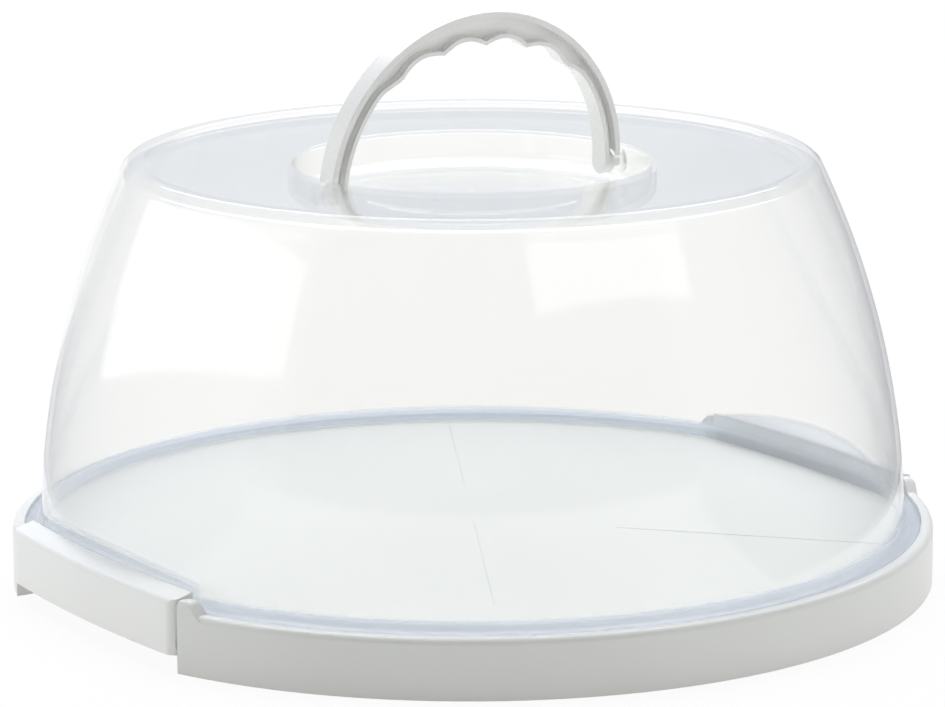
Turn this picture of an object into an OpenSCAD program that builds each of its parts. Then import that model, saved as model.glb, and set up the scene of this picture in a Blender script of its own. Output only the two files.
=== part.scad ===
// Cake carrier: a round tray, a clear domed lid with a folding handle, and two clips that hold the lid down.
// The origin lies on the table, on the lid's axis. The clips lie on the X axis, the handle stands over it.

/* [Tray] */
// Diameter over the tray's skirt
tray_d = 350; // [300:1:420]
// Height of the skirt's rim above the table
rim_z = 22.2; // [20:0.1:26]
// Width of the rim that stands round the lid's flange
rim_w = 4.5; // [3.5:0.1:8]
// Thickness of the skirt
skirt_t = 2.2; // [1.5:0.1:3]
// Thickness of the cake plate
plate_t = 2.2; // [1.6:0.1:3]
// Depth of the cake plate below the rim
plate_drop = 2.6; // [2.2:0.1:4]
// Rounding of the rim's outer edge
rim_round = 2.5; // [0.5:0.1:3]
// Rise of the horns above the rim, beside each clip
horn_h = 4.6; // [1:0.1:6]
// Length of a horn along the skirt
horn_len = 11; // [6:0.5:20]
// Thickness of the cheeks at both ends of a clip's bay
cheek_t = 2.2; // [1.6:0.1:3]
// Depth of the cheeks, towards the tray's middle
cheek_depth = 12; // [9:0.5:20]

/* [Lid] */
// Height of the lid's top rim above the table
carrier_h = 160.6; // [130:0.2:200]
// Wall thickness of the lid
lid_t = 1.8; // [1.2:0.1:2.4]
// Thickness of the foot flange
flange_t = 1.8; // [1.2:0.1:2.4]
// Width of the foot flange outside the wall
flange_w = 5.8; // [5:0.1:10]
// Radius of the wall's bulge, seen from the side
bulge_r = 324; // [290:1:500]
// Height of the wall's widest place above the table
bulge_z = 15.6; // [0:0.1:20]
// Radius of the fillet between the wall and the flange
foot_fillet = 3.5; // [1:0.1:4]
// Rise of the top rim above the flat top
top_rim_h = 2; // [1:0.1:4]
// Width of the top rim
top_rim_w = 7; // [5:0.1:12]
// Rounding of the top rim's outer edge
top_round = 2; // [0.5:0.1:3]

/* [Handle well] */
// Diameter of the well
well_d = 135; // [110:1:150]
// Depth of the well below the flat top
well_depth = 12.2; // [11.4:0.1:20]
// Rounding at the foot of the well's wall
well_round = 4.5; // [1:0.1:5]
// Diameter of the low step in the well's floor
step_d = 87; // [40:1:95]
// Height of that step
step_h = 0.8; // [0.4:0.1:1]
// Radius of the bosses that carry the handle
boss_r = 5; // [3.6:0.1:5.2]
// Length of the bosses
boss_len = 5.2; // [4:0.1:8]

/* [Handle] */
// Gap between the handle's arch and the well's wall
handle_gap = 3; // [2:0.1:6]
// Width of the handle
handle_w = 9; // [7:0.1:9.4]
// Radial depth of the handle's legs
leg_depth = 6.8; // [5.6:0.1:9]
// Thickness of the outer flange of the handle's section
outer_flange_t = 2.2; // [1.2:0.1:2.4]
// Thickness of the inner flange of the handle's section
inner_flange_t = 1.7; // [1.2:0.1:2.4]
// Thickness of the web between the flanges
web_t = 2.2; // [1.2:0.1:5]
// Radial depth of the grip at its middle cusp
grip_depth = 12.5; // [10:0.1:16]
// Radial depth of the grip at its outermost cusps
grip_end_depth = 9.3; // [8:0.1:12]
// Angle that the scallops cover, seen from between the pivots
grip_angle = 80; // [50:1:100]
// Number of finger scallops
scallops = 4; // [2:1:6]
// Depth of a scallop
scallop_depth = 2.7; // [1:0.1:3]
// Angle over which the grip runs out into the legs
grip_runout = 12; // [6:1:20]
// Lean of the standing handle towards the front
handle_lean = 6; // [0:1:20]
// Diameter of the handle's pivot pins
handle_pin_d = 4; // [3:0.1:5]

/* [Clips] */
// Length of a clip
clip_len = 120.4; // [90:0.2:140]
// Radius of a clip's bow, seen from above
bow_r = 600; // [400:5:900]
// How far the middle of a clip's face lies inside the skirt's circle
clip_inset = 6; // [4:0.1:7]
// Height of a clip's lower edge above the table
clip_z = 6.4; // [5.6:0.1:7]
// Rounding of a clip's corners, seen from above
clip_corner = 4; // [2.5:0.1:5]
// Wall thickness of a clip
clip_t = 2.2; // [1.5:0.1:3]
// Height of a clip's top edge above the skirt's rim
clip_rise = 4.6; // [4.2:0.1:8]
// Rounding of a clip's top edge
clip_round = 2; // [0.5:0.1:2.4]
// Reach of the lip over the lid's flange, from the clip's face
lip_reach = 8.9; // [8:0.1:11]
// Rise of the lip towards its inner edge
lip_rise = 1.8; // [0.5:0.1:3]
// Thickness of the bead under the lip
bead_t = 1.6; // [1:0.1:2]
// Diameter of the clips' pivot pins
clip_pin_d = 4; // [3:0.1:4.4]
// Height of the clips' pivots above a clip's lower edge
clip_pivot_h = 4.1; // [4:0.1:5]
// Distance of the clips' pivots inwards from the middle of the face
clip_pivot_in = 8.5; // [8.5:0.1:10]

/* [Fits] */
// Gap between the lid and the plate that it stands on
seat_gap = 0.2; // [0.1:0.05:0.4]
// Gap between the lid's flange and the rim round it
flange_gap = 0.5; // [0.3:0.1:1]
// Gap at each end of a clip
clip_end_gap = 0.8; // [0.4:0.1:1.5]
// Gap between a clip's bead and the top of the lid's flange
bead_gap = 0.6; // [0.5:0.05:1]
// Gap between the lid's flange and a clip's bead, seen from above
bead_side_gap = 0.9; // [0.6:0.1:1.2]
// Gap between a clip's lip and the lid's pocket
lip_gap = 4; // [3:0.1:6]
// Radial running clearance of the pivot pins
pin_gap = 0.08; // [0.03:0.01:0.1]
// Gap between the handle's hubs and the bosses
hub_gap = 0.3; // [0.2:0.05:0.6]
// Gap round a boss in the end of the handle's arch
boss_gap = 0.6; // [0.4:0.1:1]

/* [Hidden] */
$fn = 96;
ARC_STEPS = 8;      // straight pieces in a small rounding
WALL_STEPS = 28;    // straight pieces in the lid's bulging wall
ARCH_STEP = 2;      // degrees between the points of the grip's edge
MARGIN = 1;         // how far a cut runs past what it cuts
FAR = 40;           // how far a cut runs out into the open

tray_r = tray_d / 2;
rim_in_r = tray_r - rim_w;
plate_z = rim_z - plate_drop;
plate_under_z = plate_z - plate_t;
horn_z = rim_z + horn_h;

// Foot of the lid: the flange lies inside the rim, and the wall stands on it.
flange_r = rim_in_r - flange_gap;
flange_z = plate_z + seat_gap;
flange_top = flange_z + flange_t;
wall_foot_r = flange_r - flange_w;

// Outer radius of the lid's wall at a height
function wall_r(z) = wall_foot_r - bulge_r + sqrt(pow(bulge_r, 2) - pow(z - bulge_z, 2));

flat_top_z = carrier_h - top_rim_h;
top_edge_r = wall_r(carrier_h);
well_r = well_d / 2;
well_floor_z = flat_top_z - well_depth;
pivot_z = well_floor_z + step_h + handle_w / 2 + hub_gap;

// Handle, between its pivots
handle_r = well_r - handle_gap;
leg_in_r = handle_r - leg_depth;
hub_r = handle_w / 2 - 0.1;
hub_face = well_r - boss_len - hub_gap;
hole_end = well_r - 1;
pin_end = hole_end - hub_gap;

// Clip, and what follows its bow
clip_half = clip_len / 2;
clip_face = tray_r - clip_inset;
bow_x = clip_face - bow_r;
clip_top = rim_z + clip_rise;
lip_z = clip_top + lip_rise;
lip_rho = bow_r - lip_reach;
lip_slope = atan(lip_rise / (lip_reach - clip_round));
clip_pivot_x = clip_face - clip_pivot_in;
clip_pivot_z = clip_z + clip_pivot_h;
lobe_r = clip_pivot_h;
bay_half = clip_half + clip_end_gap;
cheek_out = bay_half + cheek_t;
flange_rho = lip_rho + bead_t + bead_side_gap;
plate_rho = flange_rho - 0.5;
pocket_rho = lip_rho - lip_gap;
pocket_slope = 40;
bow_half_angle = 12;

// Points along an arc: centre, radius, first and last angle
function arc(cx, cy, r, a0, a1, steps = ARC_STEPS) =
    [for (i = [0 : steps]) let (a = a0 + (a1 - a0) * i / steps) [cx + r * cos(a), cy + r * sin(a)]];

// Turns an outline about the centre of the clip's bow
module bowed() {
    translate([bow_x, 0, 0])
        rotate([0, 0, -bow_half_angle])
            rotate_extrude(angle = 2 * bow_half_angle)
                children();
}

// Repeats a piece on the opposite side of the carrier
module both_sides() {
    for (turn = [0, 180])
        rotate([0, 0, turn])
            children();
}

// Repeats a piece at the other end of a clip
module both_ends() {
    children();
    mirror([0, 1, 0])
        children();
}

// A cylinder along X, from one X to another
module x_rod(x0, x1, r) {
    translate([x0, 0, 0])
        rotate([0, 90, 0])
            cylinder(h = x1 - x0, r = r);
}

// A cylinder along Y on a clip's pivot axis, from one Y to another
module clip_rod(y0, y1, r) {
    translate([clip_pivot_x, y1, clip_pivot_z])
        rotate([90, 0, 0])
            cylinder(h = y1 - y0, r = r);
}

// Plate, skirt and rim
module tray_round() {
    rotate_extrude()
        polygon(concat(
            [[0, plate_under_z], [tray_r - skirt_t, plate_under_z], [tray_r - skirt_t, 0], [tray_r, 0]],
            arc(tray_r - rim_round, rim_z - rim_round, rim_round, 0, 90),
            [[rim_in_r, rim_z], [rim_in_r, plate_z], [0, plate_z]]));
}

// Opening for a clip, through the skirt, the rim and the plate's edge
module clip_bay() {
    intersection() {
        translate([0, -bay_half, -MARGIN])
            cube([tray_r + MARGIN, 2 * bay_half, rim_z + 2 * MARGIN]);
        bowed()
            translate([plate_rho, -2 * MARGIN])
                square([FAR, rim_z + 4 * MARGIN]);
    }
}

// A horn, seen from outside: level beside the clip, then a hollow sweep down to the rim
module horn_side() {
    level = horn_len / 4;
    sweep = horn_len - level;
    polygon(concat(
        [[0, plate_under_z], [0, horn_z]],
        [for (i = [0 : ARC_STEPS])
            let (u = i / ARC_STEPS)
            [level + sweep * u, rim_z - rim_round + (horn_h + rim_round) * pow(cos(90 * u), 2)]],
        [[horn_len, plate_under_z]]));
}

module horn() {
    intersection() {
        rotate_extrude()
            polygon(concat(
                [[rim_in_r, plate_under_z], [tray_r, plate_under_z]],
                arc(tray_r - rim_round, horn_z - rim_round, rim_round, 0, 90),
                [[rim_in_r, horn_z]]));
        translate([0, bay_half, 0])
            rotate([90, 0, 90])
                linear_extrude(height = tray_r + MARGIN)
                    horn_side();
    }
}

// Wall at one end of a bay, from the plate down to the table
module cheek() {
    cheek_end = sqrt(pow(tray_r - skirt_t / 2, 2) - pow(cheek_out, 2));
    translate([cheek_end - cheek_depth, bay_half, 0])
        cube([cheek_depth, cheek_t, plate_z - plate_t / 2]);
}

module tray() {
    color([0.93, 0.93, 0.91])
        difference() {
            union() {
                difference() {
                    tray_round();
                    both_sides() clip_bay();
                }
                both_sides()
                    both_ends() {
                        horn();
                        cheek();
                    }
            }
            both_sides()
                both_ends()
                    clip_rod(bay_half - MARGIN, cheek_out + pin_gap, clip_pin_d / 2 + pin_gap);
        }
}

// Outside of the lid, as a solid of revolution
module lid_outside() {
    wall_top_z = carrier_h - top_round;
    fillet_z = flange_top + foot_fillet;
    rim_edge = 1;
    rotate_extrude()
        polygon(concat(
            [[0, flange_z], [flange_r, flange_z], [flange_r, flange_top]],
            arc(wall_r(fillet_z) + foot_fillet, fillet_z, foot_fillet, 270, 180),
            [for (i = [1 : WALL_STEPS])
                let (z = fillet_z + (wall_top_z - fillet_z) * i / WALL_STEPS)
                [wall_r(z), z]],
            arc(top_edge_r - top_round, wall_top_z, top_round, 10, 90),
            arc(top_edge_r - top_rim_w + rim_edge, carrier_h - rim_edge, rim_edge, 90, 180, 4),
            [[top_edge_r - top_rim_w, flat_top_z], [well_r, flat_top_z]],
            arc(well_r - well_round, well_floor_z + well_round, well_round, 0, -90),
            [[step_d / 2 + step_h, well_floor_z], [step_d / 2, well_floor_z + step_h],
                [0, well_floor_z + step_h]]));
}

// Inside of the lid, as a solid of revolution that is taken away
module lid_inside() {
    roof_z = flat_top_z - lid_t;
    corner = 3;
    corner_z = roof_z - corner;
    well_out_r = well_r + lid_t;
    well_under_z = well_floor_z - lid_t;
    foot_z = flange_z - MARGIN;
    rotate_extrude()
        polygon(concat(
            [[0, foot_z]],
            [for (i = [0 : WALL_STEPS])
                let (z = foot_z + (corner_z - foot_z) * i / WALL_STEPS)
                [wall_r(z) - lid_t, z]],
            arc(wall_r(corner_z) - lid_t - corner, corner_z, corner, 10, 90),
            [[well_out_r, roof_z]],
            arc(well_out_r - well_round, well_under_z + well_round, well_round, 0, -90),
            [[0, well_under_z]]));
}

// Room for a clip's lip: an upright bowed face under a sloping roof, open outwards.
// The depth moves both faces into the lid, by the wall's thickness for the inside.
module pocket(depth, floor_z) {
    rho = pocket_rho - depth;
    roof_z = lip_z + depth / cos(pocket_slope) - depth * tan(pocket_slope);
    bowed()
        polygon([[rho, floor_z], [rho + FAR, floor_z],
            [rho + FAR, roof_z + FAR * tan(pocket_slope)], [rho, roof_z]]);
}

// What the flange lacks in front of a clip
module flange_cut() {
    bowed()
        translate([flange_rho, flange_z - MARGIN])
            square([FAR, flange_t + 2 * MARGIN]);
}

module lid() {
    color([0.86, 0.9, 0.96, 0.35])
        difference() {
            union() {
                difference() {
                    lid_outside();
                    both_sides() {
                        pocket(0, flange_top);
                        flange_cut();
                    }
                    difference() {
                        lid_inside();
                        both_sides() pocket(lid_t, flange_z - 2 * MARGIN);
                    }
                }
                both_sides()
                    translate([0, 0, pivot_z])
                        x_rod(well_r - boss_len, well_r + lid_t / 2, boss_r);
            }
            both_sides()
                translate([0, 0, pivot_z])
                    x_rod(well_r - boss_len - MARGIN, hole_end, handle_pin_d / 2 + pin_gap);
        }
}

// Radius of the line through the cusps, which lies deepest in the middle of the grip
function cusp_r(a) = handle_r - grip_depth
    + (grip_depth - grip_end_depth) * pow((a - 90) / (grip_angle / 2), 2);

// Radius of the handle's inner edge, from one pivot at 0 degrees to the other at 180
function grip_r(a) =
    let (
        past = abs(a - 90) - grip_angle / 2,
        first_cusp = 90 - grip_angle / 2,
        end_r = handle_r - grip_end_depth
    )
    past <= 0 ? cusp_r(a) + scallop_depth * abs(sin(180 * scallops * (a - first_cusp) / grip_angle))
    : past < grip_runout ? end_r + (leg_in_r - end_r) * (1 - cos(180 * past / grip_runout)) / 2
    : leg_in_r;

// What lies inside the handle's inner edge, or inside that edge moved outwards by a depth
module grip_inside(depth) {
    low = -2 * leg_in_r;
    polygon(concat(
        [[leg_in_r + depth, low]],
        [for (a = [0 : ARCH_STEP : 180]) (grip_r(a) + depth) * [cos(a), sin(a)]],
        [[-leg_in_r - depth, low]]));
}

// The upper half of a disc, from which a layer of the arch is cut
module half_disc(r) {
    intersection() {
        circle(r = r);
        translate([-r, 0])
            square([2 * r, r]);
    }
}

// A layer of the arch, standing over the X axis
module arch(width) {
    rotate([90, 0, 0])
        translate([0, 0, -width / 2])
            linear_extrude(height = width)
                children();
}

module handle() {
    color([0.97, 0.97, 0.95])
        translate([0, 0, pivot_z])
            rotate([handle_lean, 0, 0]) {
                difference() {
                    union() {
                        // Outer flange
                        arch(handle_w)
                            difference() {
                                half_disc(handle_r);
                                circle(r = handle_r - outer_flange_t);
                            }
                        // Inner flange, which follows the scallops
                        arch(handle_w)
                            difference() {
                                intersection() {
                                    half_disc(handle_r - outer_flange_t / 2);
                                    grip_inside(inner_flange_t);
                                }
                                grip_inside(0);
                            }
                        // Web
                        arch(web_t)
                            difference() {
                                half_disc(handle_r - outer_flange_t / 2);
                                grip_inside(inner_flange_t / 2);
                            }
                    }
                    both_sides()
                        x_rod(hub_face, well_r, boss_r + boss_gap);
                }
                // Hubs and pins
                both_sides() {
                    x_rod(leg_in_r, hub_face, hub_r);
                    x_rod(hub_face - MARGIN, pin_end, handle_pin_d / 2);
                }
            }
}

// Outline of a clip's outside across its bow: face, rounded top edge and rising lip
function clip_skin() = concat(
    [[bow_r, clip_z]],
    arc(bow_r - clip_round, clip_top - clip_round, clip_round, 0, 90 + lip_slope),
    [[lip_rho, lip_z]]);

// Wall, lip and the bead under the lip
module clip_shell() {
    lip_under = clip_top - clip_t;
    bowed()
        polygon(concat(
            clip_skin(),
            [[lip_rho, flange_top + bead_gap], [lip_rho + bead_t, flange_top + bead_gap],
                [lip_rho + bead_t, lip_under + lip_rise * 0.8], [bow_r - clip_t, lip_under],
                [bow_r - clip_t, clip_z]]));
}

// Wall at the end of a clip, behind the lid's flange
module clip_end() {
    end_gap = 1;
    inner = clip_half - clip_t;
    end_x = bow_x + sqrt(pow(flange_rho, 2) - pow(inner, 2)) + end_gap;
    intersection() {
        bowed()
            polygon(concat(clip_skin(), [[lip_rho, clip_z]]));
        translate([end_x, inner, clip_z])
            cube([clip_face - end_x, clip_t, lip_z - clip_z]);
    }
}

// Plan of a clip, with rounded corners
module clip_plan() {
    corner_y = clip_half - clip_corner;
    corner_x = bow_x + sqrt(pow(bow_r - clip_corner, 2) - pow(corner_y, 2));
    turn = asin(corner_y / (bow_r - clip_corner));
    corner = arc(corner_x, corner_y, clip_corner, 90, turn);
    other = [for (i = [len(corner) - 1 : -1 : 0]) [corner[i][0], -corner[i][1]]];
    polygon(concat(
        [[clip_pivot_x - FAR, clip_half]], corner,
        [[clip_face + MARGIN, corner_y], [clip_face + MARGIN, -corner_y]],
        other, [[clip_pivot_x - FAR, -clip_half]]));
}

module clip() {
    color([0.93, 0.93, 0.91])
        union() {
            intersection() {
                linear_extrude(height = lip_z + MARGIN)
                    clip_plan();
                union() {
                    clip_shell();
                    both_ends() clip_end();
                }
            }
            both_ends() {
                clip_rod(clip_half - clip_t, clip_half, lobe_r);
                clip_rod(clip_half - MARGIN, cheek_out - pin_gap, clip_pin_d / 2);
            }
        }
}

module clip_left() {
    rotate([0, 0, 180])
        clip();
}

module clip_right() {
    clip();
}

tray();
lid();
handle();
clip_left();
clip_right();
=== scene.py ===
import math

import bmesh
import bpy
from mathutils import Matrix, Vector


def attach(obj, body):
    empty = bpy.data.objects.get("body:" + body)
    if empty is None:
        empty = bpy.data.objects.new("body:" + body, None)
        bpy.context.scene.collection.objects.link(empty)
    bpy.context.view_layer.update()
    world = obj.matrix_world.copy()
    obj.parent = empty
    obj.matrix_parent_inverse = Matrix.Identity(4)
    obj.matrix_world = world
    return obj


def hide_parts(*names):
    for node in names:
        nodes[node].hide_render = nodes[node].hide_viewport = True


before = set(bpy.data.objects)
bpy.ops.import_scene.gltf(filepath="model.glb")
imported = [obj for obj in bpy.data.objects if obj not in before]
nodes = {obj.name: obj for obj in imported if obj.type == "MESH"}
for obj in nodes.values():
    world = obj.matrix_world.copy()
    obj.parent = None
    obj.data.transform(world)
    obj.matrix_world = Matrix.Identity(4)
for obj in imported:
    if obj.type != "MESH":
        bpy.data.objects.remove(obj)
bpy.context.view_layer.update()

# Sizes that follow the part's source, in millimetres
FLANGE_Z = 19.8
FLANGE_TOP = 21.6
FLANGE_R = 170.0
WALL_FOOT_R = 164.2
BULGE_R = 324.0
BULGE_Z = 15.6
WALL_T = 1.8
LID_TOP = 160.6
FLAT_TOP = 158.6
RIM_W = 7.0
FOOT_FILLET = 3.5
TOP_ROUND = 2.0
WELL_R = 67.5
WELL_FLOOR = 146.4
WELL_ROUND = 4.5
STEP_R = 43.5
STEP_TOP = 147.2
PIVOT_Z = 152.0
BOSS_R = 5.0
BOSS_FACE = 62.3
HOLE_R = 2.08
BOW_X = -431.0
POCKET_RHO = 587.1
FLANGE_RHO = 593.6
LIP_Z = 28.6
POCKET_SLOPE = 40.0
INNER_ROOF_RISE = 0.84
POCKET_EDGE = 1.6
FLANGE_CORNER = 1.2
FILLET_SHARE = 0.45
PLATE_TOP = 19.6

# Where the mould left its lines on the plate: name, bearing in degrees, first and last radius
MOULD_LINES = (("back", 60.6, 51, 161), ("front", 240.6, 5, 123), ("side", -47.4, 55, 160))

# Steps round the lid, which keep its shell under 200,000 triangles
LID_STEPS = 400

# The camera, at the photograph's viewing angle
VIEW_AZIMUTH = -33.0
VIEW_DISTANCE = 1.6853
VIEW_HEIGHT = 0.4596
VIEW_PITCH = 12.558
VIEW_ROLL = -0.147
VIEW_LENS = 173.57
SENSOR_WIDTH = 36.0

# The light: a dim room, two long soft boxes, a large one overhead and two broad side panels
ROOM_LOW = 0.03
ROOM_HIGH = 0.08
LEFT_BOX_RADIANCE = 1.0
RIGHT_BOX_RADIANCE = 1.0
TOP_BOX_RADIANCE = 3.7
LEFT_PANEL_RADIANCE = 1.25
RIGHT_PANEL_RADIANCE = 1.15
PANEL_DISTANCE = 2.4
PANEL_HEIGHT = 0.8

# How much of the floor's white is its own, where it is seen and where it only lights the object
FLOOR_GLOW = 0.92
TABLE_GLOW = 0.42

# How milky the lid is, seen straight on, at a slant and in its thick foot
HAZE_FACING = 0.02
HAZE_SLANT = 0.06
HAZE_THICK = 0.5


# Helpers

def linear(code):
    """A hex sRGB colour as linear red, green, blue and alpha."""
    parts = [int(code[i:i + 2], 16) / 255 for i in (1, 3, 5)]
    curve = [c / 12.92 if c <= 0.04045 else ((c + 0.055) / 1.055) ** 2.4 for c in parts]
    return (*curve, 1.0)


def add(tree, kind, values=None, links=None, **settings):
    """Adds a node: settings are its own properties, values go on its sockets, and links come
    from other sockets."""
    node = tree.nodes.new(kind)
    for name, value in settings.items():
        setattr(node, name, value)
    for name, value in (values or {}).items():
        node.inputs[name].default_value = value
    for name, source in (links or {}).items():
        tree.links.new(source, node.inputs[name])
    return node


def new_material(name):
    """A material with an empty node tree, and the tree."""
    material = bpy.data.materials.new(name)
    material.use_nodes = True
    material.node_tree.nodes.clear()
    return material, material.node_tree


def finish_surface(tree, shader):
    """Sends the shader to the material's output."""
    add(tree, "ShaderNodeOutputMaterial", links={"Surface": shader})


def in_millimetres(tree):
    """Places on the object in millimetres, so that a pattern's scale is per millimetre."""
    place = add(tree, "ShaderNodeTexCoord")
    return add(tree, "ShaderNodeVectorMath", {1: (1000, 1000, 1000)}, {0: place.outputs["Object"]},
               operation="MULTIPLY").outputs["Vector"]


def new_object(name, data):
    """An object in the scene with the given mesh, lamp or lens."""
    made = bpy.data.objects.new(name, data)
    bpy.context.scene.collection.objects.link(made)
    return made


def turn_faces_out(mesh):
    """Makes every face of a closed mesh look outwards."""
    fixed = bmesh.new()
    fixed.from_mesh(mesh)
    bmesh.ops.recalc_face_normals(fixed, faces=fixed.faces)
    fixed.to_mesh(mesh)
    fixed.free()


# Materials

def moulded_polypropylene(name, colour, darker, roughness):
    """Injection moulded opaque polypropylene: an even, slightly waxy sheen, with a fine
    spark-eroded grain from the mould and faint flow clouds in the pigment."""
    material, tree = new_material(name)
    place = in_millimetres(tree)
    # clouds of pigment about 40 mm across
    clouds = add(tree, "ShaderNodeTexNoise", {"Scale": 0.025, "Detail": 2.0}, {"Vector": place})
    tint = add(tree, "ShaderNodeMix", {6: linear(darker), 7: linear(colour)},
               {0: clouds.outputs["Fac"]}, data_type="RGBA")
    # mould grain about 0.5 mm across, drawn a little coarser than the real 0.2 mm so that it shows
    grain = add(tree, "ShaderNodeTexNoise", {"Scale": 2.0, "Detail": 3.0}, {"Vector": place})
    shine = add(tree, "ShaderNodeMapRange", {"To Min": roughness - 0.04, "To Max": roughness + 0.04},
                {"Value": grain.outputs["Fac"]})
    # the mould leaves every edge rounded by about 0.4 mm
    edges = add(tree, "ShaderNodeBevel", {"Radius": 0.0004}, samples=4)
    bump = add(tree, "ShaderNodeBump", {"Strength": 0.12, "Distance": 0.00002},
               {"Height": grain.outputs["Fac"], "Normal": edges.outputs["Normal"]})
    shader = add(tree, "ShaderNodeBsdfPrincipled", {"IOR": 1.49},
                 {"Base Color": tint.outputs[2], "Roughness": shine.outputs["Result"],
                  "Normal": bump.outputs["Normal"]})
    finish_surface(tree, shader.outputs["BSDF"])
    return material


def clear_polypropylene():
    """Injection moulded clear polypropylene: a thin, slightly milky wall. What is behind it shows
    unbent and a touch warmer, its haze is cool, and it mirrors the lamps softly."""
    material, tree = new_material("clear_moulded_polypropylene")
    place = in_millimetres(tree)
    # shrinkage waves about 30 mm long
    waves = add(tree, "ShaderNodeTexNoise", {"Scale": 0.03, "Detail": 1.0}, {"Vector": place})
    bump = add(tree, "ShaderNodeBump", {"Strength": 0.15, "Distance": 0.0002},
               {"Height": waves.outputs["Fac"]})
    slant = add(tree, "ShaderNodeLayerWeight", {"Blend": 0.5})
    # more of the wall's haze is met where the wall is seen at a slant
    haze = add(tree, "ShaderNodeMapRange", {"To Min": HAZE_FACING, "To Max": HAZE_SLANT},
               {"Value": slant.outputs["Facing"]}, interpolation_type="SMOOTHSTEP")
    # mirror share of a surface with an index of 1.49, by its slant
    steep = add(tree, "ShaderNodeMath", {1: 5.0}, {0: slant.outputs["Facing"]}, operation="POWER")
    mirror = add(tree, "ShaderNodeMapRange", {"To Min": 0.039, "To Max": 1.0},
                 {"Value": steep.outputs[0]})
    # the thick foot and the pockets' corners are milkier than the wall
    thick = add(tree, "ShaderNodeAttribute", attribute_name="thick")
    deep = add(tree, "ShaderNodeMath", {1: HAZE_THICK}, {0: thick.outputs["Fac"]}, operation="MULTIPLY")
    cloud = add(tree, "ShaderNodeMath", {}, {0: haze.outputs["Result"], 1: deep.outputs[0]},
                operation="MAXIMUM")
    see = add(tree, "ShaderNodeBsdfTransparent", {"Color": linear("#FFFFFE")})
    lit = add(tree, "ShaderNodeBsdfDiffuse", {"Color": linear("#E4E9F2")})
    through = add(tree, "ShaderNodeBsdfTranslucent", {"Color": linear("#E4E9F2")})
    milk = add(tree, "ShaderNodeMixShader", {0: 0.5}, {1: lit.outputs["BSDF"], 2: through.outputs["BSDF"]})
    body = add(tree, "ShaderNodeMixShader", {},
               {0: cloud.outputs[0], 1: see.outputs["BSDF"], 2: milk.outputs["Shader"]})
    gloss = add(tree, "ShaderNodeBsdfAnisotropic", {"Color": linear("#FFFFFF"), "Roughness": 0.08},
                {"Normal": bump.outputs["Normal"]})
    shader = add(tree, "ShaderNodeMixShader", {},
                 {0: mirror.outputs["Result"], 1: body.outputs["Shader"], 2: gloss.outputs["BSDF"]})
    finish_surface(tree, shader.outputs["Shader"])
    return material


def seen_directly(tree):
    """1 for what the camera sees, straight or by way of a gloss or a clear wall, and 0 for
    other light."""
    path = add(tree, "ShaderNodeLightPath")
    first = add(tree, "ShaderNodeMath", {},
                {0: path.outputs["Is Camera Ray"], 1: path.outputs["Is Glossy Ray"]}, operation="MAXIMUM")
    both = add(tree, "ShaderNodeMath", {}, {0: first.outputs[0], 1: path.outputs["Is Transmission Ray"]},
               operation="MAXIMUM")
    return both.outputs[0]


def white_floor():
    """Matt white studio floor, lit to pure white, which keeps the object's shadow."""
    material, tree = new_material("matt_white_floor")
    paper = add(tree, "ShaderNodeBsdfDiffuse", {"Color": linear("#F4F4F4")})
    glow = add(tree, "ShaderNodeEmission", {"Color": linear("#FFFFFF"), "Strength": 1.0})
    # the table is lit from below as well, by which it also lights the tray's skirt
    share = add(tree, "ShaderNodeMapRange", {"To Min": TABLE_GLOW, "To Max": FLOOR_GLOW},
                {"Value": seen_directly(tree)})
    shader = add(tree, "ShaderNodeMixShader", {},
                 {0: share.outputs["Result"], 1: paper.outputs["BSDF"], 2: glow.outputs["Emission"]})
    finish_surface(tree, shader.outputs["Shader"])
    return material


# Studio

def make_world():
    """A plain room, brighter above: white where it is seen, at its own level where it lights."""
    world = bpy.data.worlds.new("room")
    bpy.context.scene.world = world
    world.use_nodes = True
    tree = world.node_tree
    tree.nodes.clear()
    way = add(tree, "ShaderNodeTexCoord")
    parts = add(tree, "ShaderNodeSeparateXYZ", {}, {"Vector": way.outputs["Generated"]})
    level = add(tree, "ShaderNodeMapRange", {"To Min": ROOM_LOW, "To Max": ROOM_HIGH},
                {"Value": parts.outputs["Z"]})
    strength = add(tree, "ShaderNodeMix", {3: 1.0}, {0: seen_directly(tree), 2: level.outputs["Result"]},
                   data_type="FLOAT")
    room = add(tree, "ShaderNodeBackground", {"Color": linear("#FFFFFF")},
               {"Strength": strength.outputs[0]})
    add(tree, "ShaderNodeOutputWorld", links={"Surface": room.outputs["Background"]})


def grey_card(name, colour, first, last, low, high):
    """A bowed grey card round the table, between two bearings from the camera and two heights in
    degrees. A card with no low edge stands on a mat of its own. It shows only in reflections,
    where it draws the edges of the clear lid."""
    distance = 3.0
    mat_r = 0.26
    mat_z = 0.002
    steps = 12
    places = []
    for i in range(steps + 1):
        bearing = math.radians(VIEW_AZIMUTH + first + (last - first) * i / steps)
        rims = [(distance * math.cos(math.radians(lift)), distance * math.sin(math.radians(lift)))
                for lift in (low or 0, high)]
        if low is None:
            rims = [(mat_r, mat_z), (distance, mat_z), rims[1]]
        places += [(math.sin(bearing) * r, -math.cos(bearing) * r, z) for r, z in rims]
    rows = len(rims)
    quads = [(rows * i + k, rows * (i + 1) + k, rows * (i + 1) + k + 1, rows * i + k + 1)
             for i in range(steps) for k in range(rows - 1)]
    mesh = bpy.data.meshes.new(name)
    mesh.from_pydata(places, [], quads)
    card = new_object(name, mesh)
    material, tree = new_material(name)
    grey = add(tree, "ShaderNodeEmission", {"Color": linear(colour), "Strength": 1.0})
    finish_surface(tree, grey.outputs["Emission"])
    mesh.materials.append(material)
    card.visible_camera = False
    card.visible_diffuse = False
    card.visible_transmission = False
    card.visible_shadow = False


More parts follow.
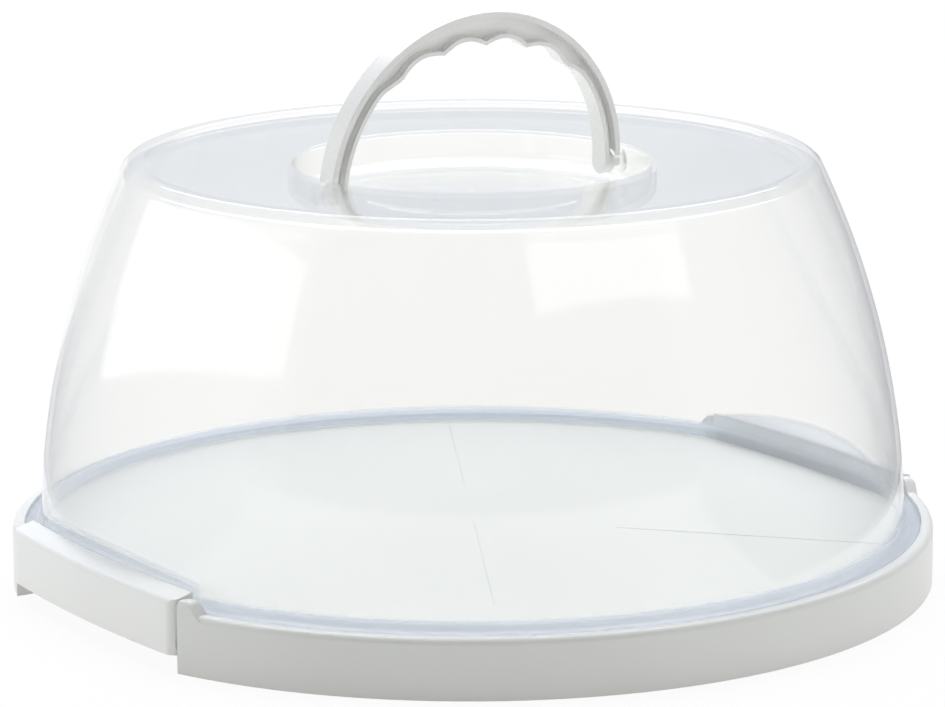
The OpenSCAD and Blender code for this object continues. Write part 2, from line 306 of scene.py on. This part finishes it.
def make_cards():
    """The grey studio around the table."""
    grey_card("front_card", "#939394", -50, 60, 3, 62)
    grey_card("right_card", "#B4B5B9", 60, 140, None, 62)
    grey_card("back_right_card", "#C4C5C9", 140, 172, None, 62)
    grey_card("back_card", "#D6DAE1", 172, 196, 6, 62)
    grey_card("left_card", "#DADADD", 212, 300, None, 62)
    grey_card("back_left_card", "#DADADD", 196, 212, 6, 62)
    grey_card("front_left_card", "#C0C0C2", 300, 310, 3, 62)


def soft_box(name, centre, along, width, height, radiance, colour="#FFFFFF"):
    """A rectangular soft box at centre that faces the object, its width along the given
    direction."""
    lamp = bpy.data.lights.new(name, "AREA")
    lamp.shape = "RECTANGLE"
    lamp.size = width
    lamp.size_y = height
    lamp.energy = radiance * width * height * math.pi
    lamp.color = linear(colour)[:3]
    box = new_object(name, lamp)
    back = Vector(centre).normalized()
    side = Vector(along)
    side = (side - back * side.dot(back)).normalized()
    upward = back.cross(side)
    turn = Matrix((side, upward, back)).transposed().to_4x4()
    box.matrix_world = Matrix.Translation(centre) @ turn
    return box


# Shapes

def lathe(name, outline, steps, radius_at=None, thick_at=None):
    """A closed body turned about Z. The outline runs from the axis back to the axis, as radius,
    height and kind in millimetres. radius_at may change a point's radius at an angle, and
    thick_at says how thick the plastic is there, from 0 to 1."""
    places = []
    for step in range(steps):
        turn = 2 * math.pi * step / steps
        for radius, height, kind in outline[1:-1]:
            r = radius_at(radius, height, kind, turn) if radius_at else radius
            places.append((r * math.cos(turn) / 1000, r * math.sin(turn) / 1000, height / 1000))
    count = len(outline) - 2
    first, last = len(places), len(places) + 1
    places += [(0, 0, outline[0][1] / 1000), (0, 0, outline[-1][1] / 1000)]
    faces = []
    for step in range(steps):
        here = step * count
        there = (step + 1) % steps * count
        faces.append((first, here, there))
        for i in range(count - 1):
            faces.append((here + i, here + i + 1, there + i + 1, there + i))
        faces.append((here + count - 1, last, there + count - 1))
    mesh = bpy.data.meshes.new(name)
    mesh.from_pydata(places, [], faces)
    mesh.polygons.foreach_set("use_smooth", [True] * len(mesh.polygons))
    turn_faces_out(mesh)
    if thick_at:
        values = [thick_at(p[0] * 1000, p[1] * 1000, p[2] * 1000, outline[1 + i % count][2])
                  for i, p in enumerate(places[:steps * count])] + [0.0, 0.0]
        mesh.attributes.new("thick", "FLOAT", "POINT").data.foreach_set("value", values)
    return new_object(name, mesh)


def arc(centre_r, centre_z, radius, first, last, kind="", steps=6):
    """Points of a rounding, from one angle in degrees to another."""
    points = []
    for i in range(steps + 1):
        a = math.radians(first + (last - first) * i / steps)
        points.append((centre_r + radius * math.cos(a), centre_z + radius * math.sin(a), kind))
    return points


def rise(kind, radius_of, low, high, steps):
    """Points up or down a wall whose radius follows its height."""
    heights = [low + (high - low) * i / steps for i in range(steps + 1)]
    return [(radius_of(z), z, kind) for z in heights]


# Lid

def wall_r(z):
    """Outer radius of the lid's bulging wall at a height."""
    return WALL_FOOT_R - BULGE_R + math.sqrt(BULGE_R ** 2 - (z - BULGE_Z) ** 2)


def inner_r(z):
    """Inner radius of the lid's wall at a height."""
    return wall_r(z) - WALL_T


def bow_r(rho, turn):
    """Radius about the lid's axis of a bow in front of the nearer clip."""
    side = math.sin(turn)
    return BOW_X * abs(math.cos(turn)) + math.sqrt(rho ** 2 - (BOW_X * side) ** 2)


def soft_least(a, b, blend):
    """The smaller of two radii, with the edge between them rounded."""
    near = max(blend - abs(a - b), 0) / blend
    return min(a, b) - near ** 2 * blend / 4


def pocket_rho(z, roof):
    """The bow of a pocket's face at a height: upright, then sloping outwards as its roof."""
    above = z - roof
    soft = 0.6
    past = (above + math.sqrt(above ** 2 + soft ** 2)) / 2
    return past / math.tan(math.radians(POCKET_SLOPE))


def lid_radius(radius, z, kind, turn):
    """A point's radius on the lid, where the two pockets and the flange's cuts change it."""
    if kind == "outside":
        rho = POCKET_RHO + pocket_rho(z, LIP_Z)
        return soft_least(radius, bow_r(rho, turn), POCKET_EDGE)
    if kind == "foot":
        wall = lid_radius(wall_r(z), z, "outside", turn)
        edge = min(FLANGE_R, bow_r(FLANGE_RHO, turn))
        fillet = min(FOOT_FILLET, FILLET_SHARE * (edge - wall))
        return wall + radius * fillet
    if kind == "flange":
        wall = lid_radius(wall_r(FLANGE_TOP), FLANGE_TOP, "outside", turn)
        edge = soft_least(FLANGE_R, bow_r(FLANGE_RHO, turn), FLANGE_CORNER)
        fillet = min(FOOT_FILLET, FILLET_SHARE * (edge - wall))
        return wall + fillet + radius * (edge - wall - fillet)
    if kind == "flange_edge":
        return soft_least(FLANGE_R, bow_r(FLANGE_RHO, turn), FLANGE_CORNER) + radius
    if kind == "inside":
        rho = POCKET_RHO - WALL_T + pocket_rho(z, LIP_Z + INNER_ROOF_RISE)
        return soft_least(radius, bow_r(rho, turn), POCKET_EDGE)
    return radius


def lid_thickness(x, y, z, kind):
    """How thick the lid's plastic is at a point, from 0 on the wall to 1 in the foot."""
    if kind in ("foot", "flange", "flange_edge"):
        return 1.0
    if kind not in ("outside", "inside"):
        return 0.0
    foot = min(max((FLANGE_TOP + FOOT_FILLET + 0.4 - z) / 0.5, 0), 1)
    plain_r = wall_r(z) - (WALL_T if kind == "inside" else 0)
    sunk = min(max((plain_r - math.hypot(x, y) - 0.2) / 1.0, 0), 1)
    return max(foot, 0.75 * sunk)


def lid_outline():
    """The lid's section: the well's floor, up and over the rim, down outside, and back up inside."""
    edge_r = wall_r(LID_TOP)
    wall_top = LID_TOP - TOP_ROUND
    rim_in = edge_r - RIM_W
    roof = FLAT_TOP - WALL_T
    corner = 3.0
    well_out = WELL_R + WALL_T
    well_under = WELL_FLOOR - WALL_T
    mouth = 0.7
    # mark of the gate through which the lid was filled
    gate = [(0, STEP_TOP + 0.8, ""), (0.6, STEP_TOP + 0.8, ""), (1.0, STEP_TOP + 0.7, ""),
            (1.2, STEP_TOP + 0.4, ""), (1.3, STEP_TOP, ""), (1.8, STEP_TOP, "")]
    floor = [(STEP_R - 1.0, STEP_TOP, ""), (STEP_R - 0.2, STEP_TOP, ""), (STEP_R, STEP_TOP - 0.06, ""),
             (STEP_R + 0.74, WELL_FLOOR + 0.06, ""), (STEP_R + 0.94, WELL_FLOOR, ""),
             (STEP_R + 1.7, WELL_FLOOR, ""), (WELL_R - WELL_ROUND - 0.5, WELL_FLOOR, "")]
    well = (arc(WELL_R - WELL_ROUND, WELL_FLOOR + WELL_ROUND, WELL_ROUND, -90, 0)
            + [(WELL_R, FLAT_TOP - mouth - 0.4, "")]
            + arc(WELL_R + mouth, FLAT_TOP - mouth, mouth, 180, 90, steps=5)
            + [(WELL_R + mouth + 0.5, FLAT_TOP, "")])
    rim = ([(rim_in - 1.3, FLAT_TOP, "")]
           + arc(rim_in - 0.6, FLAT_TOP + 0.6, 0.6, -90, 0, steps=4)
           + arc(rim_in + 1.0, LID_TOP - 1.0, 1.0, 180, 90, steps=6)
           + [(rim_in + 1.4, LID_TOP, ""), (edge_r - TOP_ROUND - 0.4, LID_TOP, "")]
           + arc(edge_r - TOP_ROUND, wall_top, TOP_ROUND, 90, 22, steps=8))
    outside = (rise("outside", wall_r, wall_top, 40, 44)
               + rise("outside", wall_r, 39.4, FLANGE_TOP + 3.6, 26))
    foot = []
    for a in (10, 20, 30, 40, 50, 60, 70, 80, 87):
        slope = math.radians(a)
        foot.append((1 - math.cos(slope), FLANGE_TOP + FOOT_FILLET * (1 - math.sin(slope)), "foot"))
    flange = ([(k, FLANGE_TOP, "flange") for k in (0.05, 0.5)]
              + [(-0.5, FLANGE_TOP, "flange_edge"), (-0.15, FLANGE_TOP - 0.1, "flange_edge"),
                 (0.0, FLANGE_TOP - 0.45, "flange_edge"), (0.0, FLANGE_Z + 0.4, "flange_edge"),
                 (-0.1, FLANGE_Z + 0.1, "flange_edge"), (-0.4, FLANGE_Z, "flange_edge"),
                 (-3.0, FLANGE_Z, "flange_edge")])
    mouth_r = inner_r(FLANGE_Z)
    inside = ([(mouth_r + 0.4, FLANGE_Z, "inside"), (mouth_r + 0.1, FLANGE_Z + 0.1, "inside"),
               (mouth_r, FLANGE_Z + 0.4, "inside")]
              + rise("inside", inner_r, FLANGE_Z + 0.8, 40, 28)
              + rise("inside", inner_r, 42.5, roof - corner, 36))
    under = (arc(inner_r(roof - corner) - corner, roof - corner, corner, 12, 90)
             + [(well_out + 1.0, roof, ""), (well_out + 0.3, roof, ""), (well_out, roof - 0.3, ""),
                (well_out, roof - 0.8, "")]
             + arc(well_out - WELL_ROUND, well_under + WELL_ROUND, WELL_ROUND, 0, -90)
             + [(well_out - WELL_ROUND - 0.5, well_under, ""), (1.0, well_under, ""), (0, well_under, "")])
    return gate + floor + well + rim + outside + foot + flange + inside + under


def make_lid(material):
    """The clear lid: one moulded shell and the two bosses that hold the handle's pins."""
    shell = lathe("lid_shell", lid_outline(), LID_STEPS, lid_radius, lid_thickness)
    shell.data.materials.append(material)
    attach(shell, "lid")
    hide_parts("lid")
    for side, turn in (("right", 90), ("left", -90)):
        depth = WELL_R - BOSS_FACE
        # the outline runs along the boss's own axis, with its face at the far end
        outline = [(0, 1.0, ""), (HOLE_R - 0.1, 1.0, ""), (HOLE_R, 1.1, ""), (HOLE_R, depth - 0.3, ""),
                   (HOLE_R + 0.3, depth, ""), (BOSS_R - 0.5, depth, ""), (BOSS_R - 0.15, depth - 0.15, ""),
                   (BOSS_R, depth - 0.5, ""), (BOSS_R, 0.3, ""), (BOSS_R, 0, ""), (0, 0, "")]
        boss = lathe("lid_boss_" + side, outline, 48)
        boss.data.transform(Matrix.Translation((math.copysign(WELL_R / 1000, turn), 0, PIVOT_Z / 1000))
                            @ Matrix.Rotation(math.radians(-turn), 4, "Y"))
        boss.data.materials.append(material)
        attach(boss, "lid")


# Plate

def mould_line(name, bearing, first_r, last_r, material):
    """A fine ridge across the plate, where two parts of the mould met, with its ends run out."""
    half_foot = 0.4
    half_top = 0.15
    height = 0.22
    sunk = -0.1
    end = 4
    places = []
    for r, lift in ((first_r, 0.0), (first_r + end, height), (last_r - end, height), (last_r, 0.0)):
        for side, z in ((-half_foot, sunk), (-half_top, lift), (half_top, lift), (half_foot, sunk)):
            places.append((r / 1000, side / 1000, (PLATE_TOP + z) / 1000))
    quads = [(4 * i + k, 4 * i + (k + 1) % 4, 4 * i + 4 + (k + 1) % 4, 4 * i + 4 + k)
             for i in range(3) for k in range(4)]
    mesh = bpy.data.meshes.new(name)
    mesh.from_pydata(places, [], quads + [(0, 3, 2, 1), (12, 13, 14, 15)])
    mesh.transform(Matrix.Rotation(math.radians(bearing), 4, "Z"))
    turn_faces_out(mesh)
    line = new_object(name, mesh)
    mesh.materials.append(material)
    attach(line, "tray")


# Lamps, floor and camera

def make_lamps():
    """The soft boxes, placed where their reflections on the lid show them to be, and a broad
    panel on either side."""
    soft_box("left_soft_box", (-1.275, 0.797, 0.546), (-0.494, -0.829, 0.262), 2.12, 0.49,
             LEFT_BOX_RADIANCE)
    soft_box("right_soft_box", (0.264, -1.284, 0.918), (0.781, -0.516, 0.352), 1.27, 0.32,
             RIGHT_BOX_RADIANCE)
    soft_box("top_soft_box", (0.50, 0.77, 1.85), (0.84, -0.54, 0), 2.4, 2.4,
             TOP_BOX_RADIANCE, "#F3F6FF")
    for name, bearing, radiance in (("left_side_panel", -85, LEFT_PANEL_RADIANCE),
                                    ("right_side_panel", 62, RIGHT_PANEL_RADIANCE)):
        around = math.radians(VIEW_AZIMUTH + bearing)
        place = (PANEL_DISTANCE * math.sin(around), -PANEL_DISTANCE * math.cos(around), PANEL_HEIGHT)
        panel = soft_box(name, place, (math.cos(around), math.sin(around), 0), 2.4, 1.8, radiance)
        # the cards already give what the lid mirrors on these sides
        panel.visible_glossy = False


def make_floor():
    """A wide floor on which the tray stands."""
    mesh = bpy.data.meshes.new("floor")
    half = 9
    corners = [(-half, -half, 0), (half, -half, 0), (half, half, 0), (-half, half, 0)]
    mesh.from_pydata(corners, [], [(0, 1, 2, 3)])
    floor = new_object("floor", mesh)
    mesh.materials.append(white_floor())


def make_camera():
    """The camera, which looks down at the object's axis."""
    lens = bpy.data.cameras.new("camera")
    lens.lens = VIEW_LENS
    lens.sensor_fit = "HORIZONTAL"
    lens.sensor_width = SENSOR_WIDTH
    lens.clip_end = 50
    camera = new_object("camera", lens)
    around = math.radians(VIEW_AZIMUTH)
    place = Vector((math.sin(around) * VIEW_DISTANCE, -math.cos(around) * VIEW_DISTANCE, VIEW_HEIGHT))
    turn = (Matrix.Rotation(around, 4, "Z")
            @ Matrix.Rotation(math.radians(90 - VIEW_PITCH), 4, "X")
            @ Matrix.Rotation(math.radians(VIEW_ROLL), 4, "Z"))
    camera.matrix_world = Matrix.Translation(place) @ turn
    bpy.context.scene.camera = camera


# Build

make_camera()
make_world()
make_lamps()
make_cards()
make_floor()

# One white polypropylene in three copies. The clips and handle are painted lighter and the tray darker.
# This is partly the mouldings' own whiteness and partly painted light and shade for how brightly each part
# is lit.
white = moulded_polypropylene("tray_polypropylene_painted_darker", "#EBECE7", "#E6E7E2", 0.32)
clip_white_painted_lighter = moulded_polypropylene("clip_polypropylene_painted_lighter", "#F5F6F2", "#F1F2EE", 0.3)
handle_white_painted_lighter = moulded_polypropylene("handle_polypropylene_painted_lighter", "#F8F8F5", "#F4F4F1", 0.28)
clear = clear_polypropylene()
for name, material in (("tray", white), ("clip_left", clip_white_painted_lighter), ("clip_right", clip_white_painted_lighter),
                       ("handle", handle_white_painted_lighter)):
    nodes[name].data.materials[0] = material
make_lid(clear)
for name, bearing, first_r, last_r in MOULD_LINES:
    mould_line("plate_line_" + name, bearing, first_r, last_r, white)

bpy.context.scene.view_settings.view_transform = "Standard"
# a line of sight may pass through many of the lid's thin walls
bpy.context.scene.cycles.transparent_max_bounces = 32
